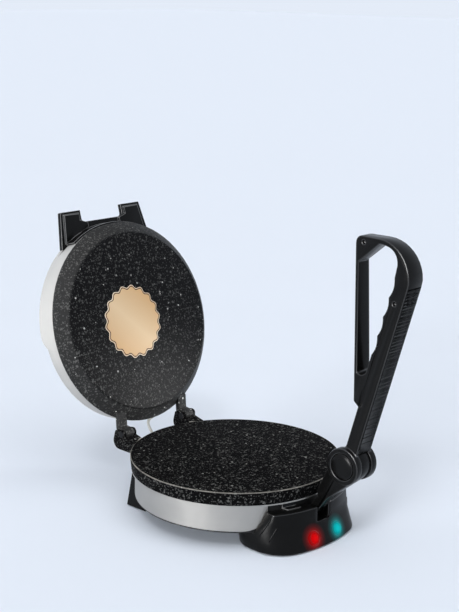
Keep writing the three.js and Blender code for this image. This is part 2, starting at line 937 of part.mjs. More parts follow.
// Finger scallops along the inside of the grip, from the top down
function fingerWave() {
  const points = [];
  const steps = fingerCount * fingerSteps;
  for (let i = 0; i <= steps; i += 1) {
    const along = fingerStart + ((steps - i) / fingerSteps) * fingerPitch;
    const swell = Math.abs(Math.sin((i / fingerSteps) * Math.PI));
    points.push(onGrip(along, -(fingerFace + fingerDepth * (1 - swell))));
  }
  return points;
}

function handleOpening() {
  const barInside = (rise) => {
    const share = (rise - barFootHeight) / (loopTop - barFootHeight);
    return barFootY + (barTopY - barFootY) * share + barThickness;
  };
  const ceiling = loopTop - loopTopWall;
  const gussetFoot = ceiling - gussetDrop;
  const arcTop = [hub.y - gussetY, hub.z + ceiling];
  const arcCorner = [hub.y - openingArcY, hub.z + ceiling];
  const arcFoot = fromHub(openingArcY, loopTop - openingArcDrop);
  const wave = fingerWave();
  const footBack = fromHub(barInside(openingFootHeight), openingFootHeight);
  const footFront = onGrip(openingFootHeight + openingFootRadius, -(fingerFace + fingerDepth));
  const footCorner = [(footBack[0] + footFront[0]) / 2, footBack[1] - openingFootRadius];
  return shapeOf([
    ...arcBetween(arcTop, arcCorner, arcFoot),
    ...wave,
    ...arcBetween(footFront, footCorner, footBack),
    fromHub(barInside(gussetFoot), gussetFoot),
  ]);
}

// Side faces of the handle close in towards its straight back bar
function tapered(shape, halfWidth) {
  const geometry = across(shape, -1, 1);
  const position = geometry.attributes.position;
  for (let i = 0; i < position.count; i += 1) {
    const behind = gripFace - outOf(position.getY(i), position.getZ(i));
    position.setX(i, position.getX(i) * (halfWidth - gripTaperShare * behind));
  }
  return geometry;
}

// The pad that the ribbed insert lies in, drawn a little larger by the gap around it
function insertBed(gap) {
  const [foot, head] = [insertStart - gap, gripLength + gap];
  return across(
    shapeOf([
      onGrip(foot, gripFace - insertDepth - gap),
      onGrip(foot, gripFace + cutOverrun),
      onGrip(head, gripFace + cutOverrun),
      onGrip(head, gripFace - insertDepth - gap),
    ]),
    -insertHalfWidth - gap,
    insertHalfWidth + gap,
  );
}

// Screw holes in the left side: one in the loop's top corner, one in the grip and one in the neck
const screwPlaces = [
  fromHub(screwTopBack, loopTop - screwTopDrop),
  onGrip(gripLength - gripHalfWidth * 3 / 2, 0),
  onGrip(screwLowAlong, -screwLowBack),
];

function screwHole([y, z]) {
  const surface = gripHalfWidth - gripTaperShare * (gripFace - outOf(y, z));
  return rodAcross({ y, z }, screwHoleRadius, -surface - cutOverrun, -surface + screwHoleDepth, pinFacets / 2);
}

// The counterbore that a cap lies in, inside the raised rim of the hub's cheek
const capFloor = hubHalfWidth - capRimThickness - seatGap;

function capSeat(side) {
  const [inner, outer] = [capFloor, hubHalfWidth + cutOverrun];
  return rodAcross(hub, capRadius + seatGap * 2, Math.min(side * inner, side * outer),
    Math.max(side * inner, side * outer), pinFacets * 2);
}

function handle() {
  const eyeRoom = armHalfWidth + slideGap;
  const reach = hubHalfWidth + cutOverrun;
  const body = cut(tapered(handleOutline(), gripHalfWidth), tapered(handleOpening(), gripHalfWidth + cutOverrun));
  const barrel = rodAcross(hub, hubRadius, -hubHalfWidth, hubHalfWidth, pinFacets * 2);
  return cut(
    joined(body, barrel),
    rodAcross(hub, hubRadius + hubClearance, -eyeRoom, eyeRoom, pinFacets * 2),
    rodAcross(hub, boltRadius + seatGap, -reach, reach),
    insertBed(seatGap),
    ...screwPlaces.map(screwHole),
    capSeat(-1),
    capSeat(1),
  );
}

add('handle', handle(), blackPlastic);

// Ribbed insert: one outline with a rib at every pitch, extruded across the grip
function gripInsert() {
  const [foot, head] = [insertStart, gripLength];
  const floor = gripFace - insertDepth;
  const land = gripFace - ribHeight;
  const count = Math.floor((head - foot) / ribPitch);
  const pitch = (head - foot) / count;
  const points = [onGrip(head, floor), onGrip(foot, floor), onGrip(foot, land)];
  for (let i = 0; i < count; i += 1) {
    const start = foot + (i + (1 - ribCrestShare) / 2) * pitch;
    points.push(
      onGrip(start - ribFlankShare * pitch, land),
      onGrip(start, gripFace),
      onGrip(start + ribCrestShare * pitch, gripFace),
      onGrip(start + (ribCrestShare + ribFlankShare) * pitch, land),
    );
  }
  points.push(onGrip(head, land));
  return across(shapeOf(points), -insertHalfWidth, insertHalfWidth);
}

add('handle_grip', gripInsert(), ribbed);

// Hub bolt and its domed caps

add('hub_bolt', rodAcross(hub, boltRadius, -capFloor, capFloor), brightSteel);

function hubCap(side) {
  const cap = revolve(buttonProfile(capRadius, 0, capRimThickness, capDome), pinFacets * 3 / 2);
  return cap.rotateY((side * Math.PI) / 2).translate(side * (capFloor + seatGap), hub.y, hub.z);
}

add('hub_cap_left', hubCap(-1), blackPlastic);
add('hub_cap_right', hubCap(1), blackPlastic);

// Upper plate, drawn closed: a dished face with a sloping side and one lug to each pair of ears

function upperPlateDisc() {
  const rimInside = plateRadius - upperWall;
  return revolve([
    [0, upperFace],
    [upperFaceRadius, upperFace],
    [plateRadius, upperRim],
    [plateRadius, upperBack],
    [rimInside, upperBack],
    [rimInside, upperRim + upperWallTop - upperRimLip],
    [upperFaceRadius - upperWall, upperFace + upperWeb],
    [0, upperFace + upperWeb],
  ]);
}

// A strap that runs out of the rim, bends behind it and ends in an eye on the pin
function lidLug(x) {
  const root = { y: hinge.y - lidLugRootInset, z: hinge.z + lidLugRootRise, radius: lidLugRadius };
  const bend = { y: hinge.y - lidLugBendInset, z: hinge.z + lidLugBendRise, radius: lidLugRadius };
  const eye = { ...hinge, radius: hingeEyeRadius };
  const [left, right] = [x - lidLugWidth / 2, x + lidLugWidth / 2];
  return joined(across(beltShape([root, bend]), left, right), across(beltShape([bend, eye]), left, right));
}

function upperPlate() {
  const lugs = hingePairs.map(({ x }) => lidLug(x));
  const reach = earOutside + cutOverrun;
  const holes = hingePairs.map(({ x }) => rodAcross(hinge, hingePinRadius + seatGap, x - reach, x + reach));
  return cut(joined(upperPlateDisc(), ...lugs), ...holes);
}

add('upper_plate', upperPlate(), granite, lid);
add('upper_element', elementRing(upperFace + upperWeb + seatGap + elementTubeRadius), heater, lid);

// Lid shell: open steel band round a pressed cover

function lidBand() {
  const half = [];
  for (let i = 0; i <= arcFacets; i += 1) {
    const angle = (i / arcFacets) * (Math.PI / 2);
    half.push([
      lidBandEndBehind - lidBandCornerLength * (1 - Math.cos(angle)),
      lidBandTop - lidBandCornerHeight * (1 - Math.sin(angle)),
    ]);
  }
  const behind = lidBandRadius + cutOverrun;
  const shape = shapeOf([
    [lidBandEndBehind, lidBandBottom - cutOverrun],
    ...half,
    [lidBandEndBehind - lidBandCornerLength, lidBandTop + cutOverrun],
    [behind, lidBandTop + cutOverrun],
    [behind, lidBandBottom - cutOverrun],
  ]);
  return cut(bandRing(lidBandRadius, lidBandBottom, lidBandTop), across(shape, -behind, behind));
}

add('lid_band', lidBand(), steel, lid);

function lidCover() {
  const shoulderTop = coverTop - coverCrown;
  const crownRadius = plateRadius - coverCrownInset;
  const bend = [];
  for (let i = 0; i <= bendFacets; i += 1) {
    const angle = (i / bendFacets) * (Math.PI / 2);
    bend.push([
      coverRadius - coverShoulder * (1 - Math.cos(angle)),
      shoulderTop - coverShoulder * (1 - Math.sin(angle)),
    ]);
  }
  return revolve([
    [coverRadius, lidBandBottom],
    ...bend,
    [crownRadius, shoulderTop + coverCrown / 2],
    [0, coverTop],
    [0, coverTop - coverWall],
    [crownRadius, shoulderTop + coverCrown / 2 - coverWall],
    [coverRadius - coverShoulder, shoulderTop - coverWall],
    [coverRadius - coverWall, shoulderTop - coverShoulder],
    [coverRadius - coverWall, lidBandBottom],
    [coverRadius, lidBandBottom],
  ]);
}

add('lid_cover', lidCover(), steel, lid);

// Fork on the front of the lid: two prongs on a curved web, with a flange down the band

const forkBottom = upperBack + forkRise;
const forkInner = lidBandRadius + seatGap;
const forkWebY = plateRadius + forkWebReach;
const forkTipY = plateRadius + forkTipReach;
const forkHeelBack = plateRadius - forkHeelInset;

function forkOutline() {
  const half = [[0, -forkWebY]];
  for (let i = 0; i <= arcFacets / 2; i += 1) {
    const angle = (i / (arcFacets / 2)) * (Math.PI / 2);
    half.push([
      forkGapHalf - forkFillet * (1 - Math.sin(angle)),
      -forkWebY - forkFillet * (1 - Math.cos(angle)),
    ]);
  }
  half.push([forkGapHalf, -forkTipY], [forkHalfWidth, -forkTipY], [forkHeelHalf, -forkHeelBack]);
  return shapeOf(mirroredRing(half));
}

// Raised pad under each prong, with its edges chamfered
function forkPad(side) {
  const corners = [
    [forkGapHalf + forkPadInset, -forkTipY + forkPadInset],
    [forkHalfWidth - forkPadInset, -forkTipY + forkPadInset],
    [forkHeelHalf - forkPadInset * 2, -forkHeelBack - forkPadInset * 2],
    [forkGapHalf - forkFillet * 2, -forkWebY + forkWebReach * forkPadFootShare],
    [forkGapHalf - forkFillet * 2, -forkWebY + forkPadEdge],
    [forkGapHalf + forkPadInset, -forkWebY - forkPadInset],
  ];
  const middle = corners.reduce(([x, y], [cx, cy]) => [x + cx / corners.length, y + cy / corners.length], [0, 0]);
  const shrunk = corners.map(([x, y]) => {
    const [dx, dy] = [middle[0] - x, middle[1] - y];
    const length = Math.hypot(dx, dy);
    return [x + (dx / length) * forkPadEdge, y + (dy / length) * forkPadEdge];
  });
  const place = (points) => points.map(([x, y]) => [side * x, y]);
  return loft([
    { z: forkBottom - forkPadHeight, points: place(shrunk) },
    { z: forkBottom, points: place(corners) },
    { z: forkBottom + forkThickness / 2, points: place(corners) },
  ]);
}

function lidFork() {
  const top = forkBottom + forkThickness;
  const flange = sector(forkInner, forkInner + forkFlangeThickness, (forkFlangeDegrees * Math.PI) / 360);
  return cut(
    joined(
      upright(forkOutline(), forkBottom, top),
      upright(flange, forkBottom - forkFlangeDrop, top),
      forkPad(-1),
      forkPad(1),
    ),
    disc(forkInner, forkBottom - forkFlangeDrop - cutOverrun, top + cutOverrun),
  );
}

add('lid_fork', lidFork(), blackPlastic, lid);

// Heat-proof lead that loops over the hinge from the base into the lid

function leadCurve() {
  const open = (lidOpenDegrees * Math.PI) / 180;
  const inLid = (y, z) => [
    hinge.y + (y - hinge.y) * Math.cos(open) + (z - hinge.z) * Math.sin(open),
    hinge.z - (y - hinge.y) * Math.sin(open) + (z - hinge.z) * Math.cos(open),
  ];
  const entry = inLid(coverRadius + leadRadius + seatGap, lidBandBottom + lidBandHeight / 2);
  const before = inLid(coverRadius + leadRadius * 4, lidBandBottom + lidBandHeight / 2);
  return new THREE.CatmullRomCurve3([
    new THREE.Vector3(-leadX, rearOf(rearTopInset * 2), rearTop + seatGap + leadRadius * leadFootShare),
    new THREE.Vector3(-leadX, rearOf(0), underPlate + leadRadius * 2),
    new THREE.Vector3((leadLidX - leadX) / 2, before[0], before[1]),
    new THREE.Vector3(leadLidX, entry[0], entry[1]),
  ]);
}

function rearOf(inset) {
  return hinge.y - inset;
}

add('lid_lead', tube(leadCurve(), leadRadius, leadSteps), sleeve);

// The lid stands open about its hinge, and the whole part stands centred over the origin

lid.position.set(0, -hinge.y, -hinge.z);
const lidHinge = new THREE.Group();
lidHinge.position.set(0, hinge.y, hinge.z);
lidHinge.rotation.x = -(lidOpenDegrees * Math.PI) / 180;
lidHinge.add(lid);
part.add(lidHinge);
part.updateMatrixWorld(true);
const middle = new THREE.Box3().setFromObject(part).getCenter(new THREE.Vector3());
part.position.set(-middle.x, -middle.y, 0);
part.updateMatrixWorld(true);

export default part;
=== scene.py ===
# Looks of the electric roti maker: camera, light, floor, materials and the small pieces that the
# solids leave out. Lengths are metres unless a name says otherwise.

import json
import math

import bpy
from mathutils import Matrix, Vector
from mathutils.bvhtree import BVHTree

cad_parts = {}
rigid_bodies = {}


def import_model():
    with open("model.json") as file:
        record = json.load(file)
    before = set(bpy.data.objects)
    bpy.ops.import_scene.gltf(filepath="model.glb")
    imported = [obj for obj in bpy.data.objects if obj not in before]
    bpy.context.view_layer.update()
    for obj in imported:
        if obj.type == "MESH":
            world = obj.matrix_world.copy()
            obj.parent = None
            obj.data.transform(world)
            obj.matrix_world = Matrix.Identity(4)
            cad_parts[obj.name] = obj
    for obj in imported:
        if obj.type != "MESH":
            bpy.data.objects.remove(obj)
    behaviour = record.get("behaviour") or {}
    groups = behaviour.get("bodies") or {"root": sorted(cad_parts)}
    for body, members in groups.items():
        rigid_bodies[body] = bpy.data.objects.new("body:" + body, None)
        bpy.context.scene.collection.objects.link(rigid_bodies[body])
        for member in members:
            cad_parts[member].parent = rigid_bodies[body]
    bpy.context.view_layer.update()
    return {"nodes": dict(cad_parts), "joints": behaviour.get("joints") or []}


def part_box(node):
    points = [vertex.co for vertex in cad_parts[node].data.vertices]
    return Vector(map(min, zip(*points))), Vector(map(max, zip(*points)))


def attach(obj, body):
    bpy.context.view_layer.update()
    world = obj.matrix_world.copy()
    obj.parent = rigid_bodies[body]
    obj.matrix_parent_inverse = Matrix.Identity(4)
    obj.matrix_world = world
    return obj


for startup_object in list(bpy.data.objects):
    bpy.data.objects.remove(startup_object)

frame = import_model()
nodes = frame["nodes"]
joints = {joint["name"]: joint for joint in frame["joints"]}
mm = 0.001
up_axis = Vector((0, 0, 1))
matrix_size = 4

# Photograph and the camera fitted to it, its angles in degrees

photo_width = 459
photo_height = 612
focal_pixels = 1300.0
sensor_mm = 36.0
camera_azimuth = -47.32
camera_elevation = 13.93
camera_roll = 0.91
camera_eye = Vector((-0.9920, -0.9015, 0.5638))
camera_near = 0.05
camera_far = 60

# Floor and world, colours linear

backdrop_color = (0.776, 0.838, 0.939)
floor_color = (0.71, 0.768, 0.862)
floor_half = 20.0
floor_roughness = 0.9
sky_tones = ((0.0, (0.55, 0.57, 0.60)), (1.0, (1.0, 1.0, 1.0)))
sky_strength = 0.64

# Places worked out from the solids. The lid stands open about its hinge, and when it is closed both
# plates share the upright axis of the trim ring.

# The upper plate's flat face ends at this radius and its sloping side begins
upper_face_radius = 101.2 * mm

# A start for straight lines that is clear of the node they are to meet
far_off = 150.0 * mm


def box_centre(name):
    low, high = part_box(name)
    return Vector([(a + b) / 2 for a, b in zip(low, high)])


def half_width(name):
    low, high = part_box(name)
    return (high[0] - low[0]) / 2


def surface_of(name):
    return BVHTree.FromObject(nodes[name], bpy.context.evaluated_depsgraph_get())


# Where a straight line first meets a node
def first_hit(name, start, towards):
    return surface_of(name).ray_cast(start, towards)[0]


hinge_place = Vector(joints["lid_hinge"]["pos_m"])
lid_open = math.radians(joints["lid_hinge"]["range_deg"][1])
lid_turn = Matrix.Rotation(-lid_open, matrix_size, "X")
open_lid = Matrix.Translation(hinge_place) @ lid_turn @ Matrix.Translation(-hinge_place)
lid_axis = lid_turn.to_3x3() @ up_axis
ring_centre = box_centre("lower_trim_ring")
lower_centre = first_hit("lower_plate", ring_centre + far_off * up_axis, -up_axis)
upper_centre = first_hit("upper_plate", open_lid @ ring_centre, lid_axis)
plate_radius = half_width("lower_plate")

# Granite coat

coat_tone = (0.003, 0.003, 0.0032)
# Painted sheen: the paler tone of the upper plate's sloping side
cone_sheen_tone = (0.020, 0.020, 0.020)
speck_tone = (0.62, 0.62, 0.60)
# Painted highlight along the lower plate's rim: its tone, width and patches
rim_highlight_tone = (0.62, 0.60, 0.55)
rim_highlight_width = 1.2 * mm
rim_highlight_patches = 45.0
crease_width = 2.0 * mm
coat_grain = 1500.0
coat_grain_strength = 0.05

# Each layer of specks: cells per metre, greatest size and share of the cells kept, and seed
coarse_specks = {"scale": 280.0, "size": 0.34, "kept": 0.08, "seed": 1.3}
medium_specks = {"scale": 330.0, "size": 0.50, "kept": 0.60, "seed": 5.1}
fine_specks = {"scale": 620.0, "size": 0.55, "kept": 0.75, "seed": 9.7}
medium_level = 0.12
fine_level = 0.10
seed_directions = (1.0, 0.7, 0.3)
speck_warp = 0.6
speck_warp_scale = 2.3
darkest_speck = 0.4

# Plastic, steel, lamps and foil

grain_depth = 0.2 * mm
plastic_grain = 900.0
plastic_grain_strength = 0.02
plastic_roughness_spread = 0.12
steel_grain = 60.0
steel_roughness_spread = 0.1
steel_low_stop = 0.3
steel_high_stop = 0.7
steel_low_share = 0.94
red_glow = (0.48, 0.0, 0.001)
teal_glow = (0.001, 0.34, 0.355)
# How far a lamp's glow reaches; past the lens it is light painted on the moulding
glow_radius = 16.5 * mm

# How bright a lamp's glow is at shares of its radius
glow_shares = (
    (0.0, 1.0),
    (0.12, 0.97),
    (0.25, 0.78),
    (0.36, 0.52),
    (0.48, 0.30),
    (0.6, 0.16),
    (0.75, 0.06),
    (1.0, 0.0),
)
glow_strength = 1.55
lens_strength = 0.9
lens_roughness = 0.5
lens_specular = 0.05
# Where the foil's painted sheen lies across the badge
foil_start = 0.11
foil_span = 0.13
foil_stops = (0.0, 0.5, 1.0)
foil_roughness = 0.5
foil_specular = 0.15


# Node helpers

new_stop = 0.5
mix_first = 6
mix_second = 7
mix_result = 2


def new_material(name):
    material = bpy.data.materials.new(name)
    material.use_nodes = True
    tree = material.node_tree
    return material, tree, tree.nodes["Principled BSDF"]


def add_node(tree, kind, **settings):
    node = tree.nodes.new(kind)
    for key, value in settings.items():
        setattr(node, key, value)
    return node


def link(tree, source, target):
    tree.links.new(source, target)


def is_output(value):
    return hasattr(value, "is_output")


# Each socket takes either another node's output or a plain value
def feed(tree, sockets, values):
    for socket, value in zip(sockets, values):
        if is_output(value):
            link(tree, value, socket)
        else:
            socket.default_value = value


def math_node(tree, operation, *values):
    node = add_node(tree, "ShaderNodeMath", operation=operation)
    feed(tree, node.inputs, values)
    return node.outputs[0]


def squared(tree, value):
    return math_node(tree, "MULTIPLY", value, value)


# A vector node, with its vector result; number_node gives its number
def vector_node(tree, operation, *values, result="Vector"):
    node = add_node(tree, "ShaderNodeVectorMath", operation=operation)
    feed(tree, node.inputs, values)
    return node.outputs[result]


def number_node(tree, operation, *values):
    return vector_node(tree, operation, *values, result="Value")


def object_place(tree):
    return add_node(tree, "ShaderNodeTexCoord").outputs["Object"]


def noise(tree, scale, detail):
    node = add_node(tree, "ShaderNodeTexNoise")
    node.inputs["Scale"].default_value = scale
    node.inputs["Detail"].default_value = detail
    link(tree, object_place(tree), node.inputs["Vector"])
    return node.outputs


def ramp(tree, source, stops):
    node = add_node(tree, "ShaderNodeValToRGB")
    elements = node.color_ramp.elements
    while len(elements) < len(stops):
        elements.new(new_stop)
    for element, (place, color) in zip(elements, stops):
        element.position = place
        element.color = (*color, 1.0)
    link(tree, source, node.inputs["Fac"])
    return node.outputs["Color"]


def bump(tree, shader, height, strength):
    node = add_node(tree, "ShaderNodeBump")
    node.inputs["Strength"].default_value = strength
    node.inputs["Distance"].default_value = grain_depth
    link(tree, height, node.inputs["Height"])
    link(tree, node.outputs["Normal"], shader.inputs["Normal"])


# The Mix node's colour sockets share their names with its others, so they go by their places
def blend_colors(tree, share, first, second):
    mix = add_node(tree, "ShaderNodeMix", data_type="RGBA")
    colors = [tone if is_output(tone) else (*tone, 1.0) for tone in (first, second)]
    feed(tree, (mix.inputs[0], mix.inputs[mix_first], mix.inputs[mix_second]), (share, *colors))
    return mix.outputs[mix_result]


def vary_roughness(tree, shader, texture, roughness, spread):
    level = math_node(tree, "MULTIPLY", texture, spread)
    link(tree, math_node(tree, "ADD", level, roughness - spread / 2), shader.inputs["Roughness"])


def grey(level):
    return (level, level, level)


# Materials


# A pilot lamp's glow, bright at its middle and gone a little way out: its own light on the lens,
# painted light on the moulding round it
def lamp_glow(tree, centre, color):
    away = number_node(tree, "DISTANCE", object_place(tree), centre)
    share = math_node(tree, "DIVIDE", away, glow_radius)
    return ramp(tree, share, [(place, [c * level for c in color]) for place, level in glow_shares])


# Fine-grained plastic; where glows are given, the light of the two lamps is painted on it, fading
# out from each lamp
def moulded_plastic(name, color, roughness, specular=0.3, glows=()):
    material, tree, shader = new_material(name)
    shader.inputs["Base Color"].default_value = (*color, 1.0)
    shader.inputs["Specular IOR Level"].default_value = specular
    grain = noise(tree, plastic_grain, detail=3.0)["Fac"]
    vary_roughness(tree, shader, grain, roughness, plastic_roughness_spread)
    bump(tree, shader, grain, plastic_grain_strength)
    if glows:
        tones = [lamp_glow(tree, centre, tone) for centre, tone in glows]
        link(tree, vector_node(tree, "ADD", *tones), shader.inputs["Emission Color"])
        shader.inputs["Emission Strength"].default_value = glow_strength
    return material


def sheet_steel(name, color, roughness):
    material, tree, shader = new_material(name)
    shader.inputs["Metallic"].default_value = 1.0
    grain = noise(tree, steel_grain, detail=4.0)["Fac"]
    darker = [c * steel_low_share for c in color]
    tint = ramp(tree, grain, ((steel_low_stop, darker), (steel_high_stop, color)))
    link(tree, tint, shader.inputs["Base Color"])
    vary_roughness(tree, shader, grain, roughness, steel_roughness_spread)
    return material


# One layer of irregular specks: small cells of a Voronoi texture, kept in only some of the cells
def specks(tree, scale, size, kept, seed):
    shift = [seed * direction for direction in seed_directions]
    shifted = vector_node(tree, "ADD", object_place(tree), shift)
    warp = noise(tree, scale * speck_warp_scale, detail=2.0)["Color"]
    reach = Vector((1, 1, 1)) * (speck_warp / scale)
    cells = add_node(tree, "ShaderNodeTexVoronoi", feature="F1")
    cells.inputs["Scale"].default_value = scale
    link(tree, vector_node(tree, "MULTIPLY_ADD", warp, reach, shifted), cells.inputs["Vector"])
    split = add_node(tree, "ShaderNodeSeparateColor")
    link(tree, cells.outputs["Color"], split.inputs[0])
    choice, width, shade = split.outputs
    inside = math_node(
        tree, "LESS_THAN", cells.outputs["Distance"], math_node(tree, "MULTIPLY", width, size)
    )
    shown = math_node(tree, "MULTIPLY", inside, math_node(tree, "LESS_THAN", choice, kept))
    lighter = math_node(tree, "MULTIPLY", shade, 1 - darkest_speck)
    lightness = math_node(tree, "ADD", lighter, darkest_speck)
    return math_node(tree, "MULTIPLY", shown, lightness)


# How far along an axis and how far out from it a point lies
def axis_places(tree, centre, axis):
    offset = vector_node(tree, "SUBTRACT", object_place(tree), centre)
    along = number_node(tree, "DOT_PRODUCT", offset, axis)
    whole = squared(tree, number_node(tree, "LENGTH", offset))
    rest = math_node(tree, "SUBTRACT", whole, squared(tree, along))
    return along, math_node(tree, "SQRT", rest)


# A painted highlight: a thin, patchy pale line along a circle of the coat
def painted_rim_highlight(tree, along, away, radius, tone):
    aside = math_node(tree, "SUBTRACT", away, radius)
    both = math_node(tree, "ADD", squared(tree, aside), squared(tree, along))
    share = math_node(tree, "DIVIDE", math_node(tree, "SQRT", both), rim_highlight_width)
    fade = math_node(tree, "MAXIMUM", math_node(tree, "SUBTRACT", 1.0, share), 0.0)
    patches = noise(tree, rim_highlight_patches, detail=3.0)["Fac"]
    fullness = math_node(tree, "MULTIPLY", fade, patches)
    return blend_colors(tree, fullness, tone, rim_highlight_tone)


# Painted sheen: the coat is made paler on the sloping side, beyond a soft crease, for the light
# that side catches
def painted_side_sheen(tree, away, radius):
    beyond = math_node(tree, "SUBTRACT", away, radius)
    step = math_node(tree, "MAXIMUM", math_node(tree, "DIVIDE", beyond, crease_width), 0.0)
    return blend_colors(tree, math_node(tree, "MINIMUM", step, 1.0), coat_tone, cone_sheen_tone)


# The black coat with its three layers of specks; coarse_level is how bright the coarse ones are
def granite_coat(
    name, centre, axis, specular, roughness, coarse_level, rim_highlight_radius=None, cone_radius=None
):
    material, tree, shader = new_material(name)
    along, away = axis_places(tree, centre, axis)
    coarse = math_node(tree, "MULTIPLY", specks(tree, **coarse_specks), coarse_level)
    medium = math_node(tree, "MULTIPLY", specks(tree, **medium_specks), medium_level)
    fine = math_node(tree, "MULTIPLY", specks(tree, **fine_specks), fine_level)
    white = math_node(tree, "MAXIMUM", math_node(tree, "MAXIMUM", coarse, medium), fine)
    # The sloping side gets its painted sheen
    tone = painted_side_sheen(tree, away, cone_radius) if cone_radius else coat_tone
    tone = blend_colors(tree, white, tone, speck_tone)
    # A thin painted highlight along the rim
    if rim_highlight_radius:
        tone = painted_rim_highlight(tree, along, away, rim_highlight_radius, tone)
    link(tree, tone, shader.inputs["Base Color"])
    shader.inputs["Specular IOR Level"].default_value = specular
    shader.inputs["Roughness"].default_value = roughness
    bump(tree, shader, noise(tree, coat_grain, detail=2.0)["Fac"], coat_grain_strength)
    return material


def lamp_lens(name, color, centre):
    material, tree, shader = new_material(name)
    tone = lamp_glow(tree, centre, color)
    link(tree, tone, shader.inputs["Base Color"])
    link(tree, tone, shader.inputs["Emission Color"])
    shader.inputs["Emission Strength"].default_value = lens_strength
    shader.inputs["Roughness"].default_value = lens_roughness
    shader.inputs["Specular IOR Level"].default_value = lens_specular
    return material


# Foil with a painted sheen: lighter in a band across the badge, darker towards its lower left and
# its upper right
def foil(name, *tones):
    material, tree, shader = new_material(name)
    split = add_node(tree, "ShaderNodeSeparateXYZ")
    link(tree, object_place(tree), split.inputs[0])
    rise = math_node(tree, "ADD", split.outputs["X"], split.outputs["Z"])
    share = math_node(tree, "DIVIDE", math_node(tree, "SUBTRACT", rise, foil_start), foil_span)
    tone = ramp(tree, share, list(zip(foil_stops, tones)))
    link(tree, tone, shader.inputs["Base Color"])
    shader.inputs["Roughness"].default_value = foil_roughness
    shader.inputs["Specular IOR Level"].default_value = foil_specular
    return material


# The lower plate's coat, with a painted highlight along its rim
lower_granite = granite_coat(
    "lower granite coat",
    centre=lower_centre,
    axis=up_axis,
    specular=0.012,
    roughness=0.75,
    coarse_level=0.42,
    rim_highlight_radius=plate_radius,
)
# The upper plate's coat, with a painted sheen on its sloping side
upper_granite = granite_coat(
    "upper granite coat",
    centre=upper_centre,
    axis=lid_axis,
    specular=0.08,
    roughness=0.5,
    coarse_level=1.0,
    cone_radius=upper_face_radius,
)
polished = sheet_steel("polished steel", color=(0.42, 0.405, 0.380), roughness=0.42)
# The lid's band and cover are the base's steel made paler and duller; the paler colour is painted
# light, for the brighter light the lid catches
lid_steel = sheet_steel("lid band steel", color=(0.51, 0.50, 0.48), roughness=0.78)
cover_steel = sheet_steel("cover steel", color=(0.51, 0.50, 0.48), roughness=0.72)
zinc = sheet_steel("zinc steel", color=(0.68, 0.68, 0.70), roughness=0.32)
burnished = sheet_steel("burnished steel", color=(0.02, 0.02, 0.021), roughness=0.5)
sheath = sheet_steel("element sheath", color=(0.30, 0.27, 0.24), roughness=0.5)
moulding = moulded_plastic("black moulding", grey(0.003), roughness=0.24, specular=0.12)
# Edges: a lighter tone painted along them as a highlight, on a glossier finish
painted_edge_highlight = moulded_plastic("painted edge highlight", grey(0.012), roughness=0.22, specular=0.4)
# A brighter painted highlight along the edges of the fork and the brackets
bright_edge_highlight = moulded_plastic("bright edge highlight, painted", grey(0.10), roughness=0.25, specular=0.5)
grip = moulded_plastic("ribbed grip", grey(0.008), roughness=0.5)
rubber = moulded_plastic("rubber", grey(0.008), roughness=0.75)
painted = moulded_plastic("painted sheet", grey(0.008), roughness=0.5)
braid = moulded_plastic("lead sleeve", (0.50, 0.50, 0.47), roughness=0.85)
red_centre = box_centre("red_lamp_lens")
teal_centre = box_centre("green_lamp_lens")
red_lens = lamp_lens("red lens", red_glow, red_centre)
green_lens = lamp_lens("green lens", teal_glow, teal_centre)
lamp_glows = ((red_centre, red_glow), (teal_centre, teal_glow))
# The housing and bezels carry painted light: the two lamps' glow spilling onto them
lit_moulding = moulded_plastic(
    "moulding with painted lamp glow", grey(0.003), roughness=0.3, specular=0.10, glows=lamp_glows
)
# Edges round the lamps: the same painted highlight, with the lamps' glow painted on too
edge_highlight_near_lamps = moulded_plastic(
    "edges round the lamps, painted glow and highlight", grey(0.012), roughness=0.22, specular=0.4, glows=lamp_glows
)
gold = foil("gold foil", (0.60, 0.36, 0.17), (0.80, 0.60, 0.38), (0.68, 0.42, 0.20))
pale_gold = foil("pale foil", (0.80, 0.62, 0.45), (0.92, 0.80, 0.64), (0.80, 0.62, 0.45))
bronze = foil("bronze line", (0.10, 0.05, 0.02), (0.14, 0.07, 0.035), (0.10, 0.05, 0.02))

# Which node wears which material

look_groups = (
    (lower_granite, ["lower_plate"]),
    (upper_granite, ["upper_plate"]),
    (burnished, ["hinge_pin_left", "hinge_pin_right"]),
    (burnished, ["housing_bracket_left", "housing_bracket_right"]),
    (sheath, ["lower_element", "upper_element"]),
    (polished, ["lower_trim_ring", "base_band"]),
    (lid_steel, ["lid_band"]),
    (cover_steel, ["lid_cover"]),
    (painted, ["base_tray"]),
    (lit_moulding, ["front_housing", "red_lamp_bezel", "green_lamp_bezel"]),
    (red_lens, ["red_lamp_lens"]),
    (green_lens, ["green_lamp_lens"]),
    (rubber, ["foot_front_left", "foot_front_right", "foot_rear_left", "foot_rear_right"]),
    (rubber, ["cord_gland"]),
    (moulding, ["rear_block", "press_arm", "handle", "lid_fork"]),
    (moulding, ["hub_cap_left", "hub_cap_right"]),
    (zinc, ["arm_pin", "hub_bolt"]),
    (grip, ["handle_grip"]),
    (braid, ["lid_lead"]),
)
looks = {name: look for look, names in look_groups for name in names}

# Soft edges: their width and, where it differs from the node's own, their material, a lighter one
# that paints a highlight along the edge

edge_groups = (
    (0.5 * mm, None, ["lower_plate"]),
    (0.8 * mm, None, ["upper_plate"]),
    (0.8 * mm, edge_highlight_near_lamps, ["front_housing"]),
    (0.8 * mm, painted_edge_highlight, ["rear_block", "press_arm"]),
    (1.0 * mm, painted_edge_highlight, ["handle"]),
    (0.5 * mm, painted_edge_highlight, ["hub_cap_left", "hub_cap_right"]),
    (0.5 * mm, bright_edge_highlight, ["lid_fork"]),
    (0.4 * mm, bright_edge_highlight, ["housing_bracket_left", "housing_bracket_right"]),
)
edges = {name: (width, look) for width, look, names in edge_groups for name in names}

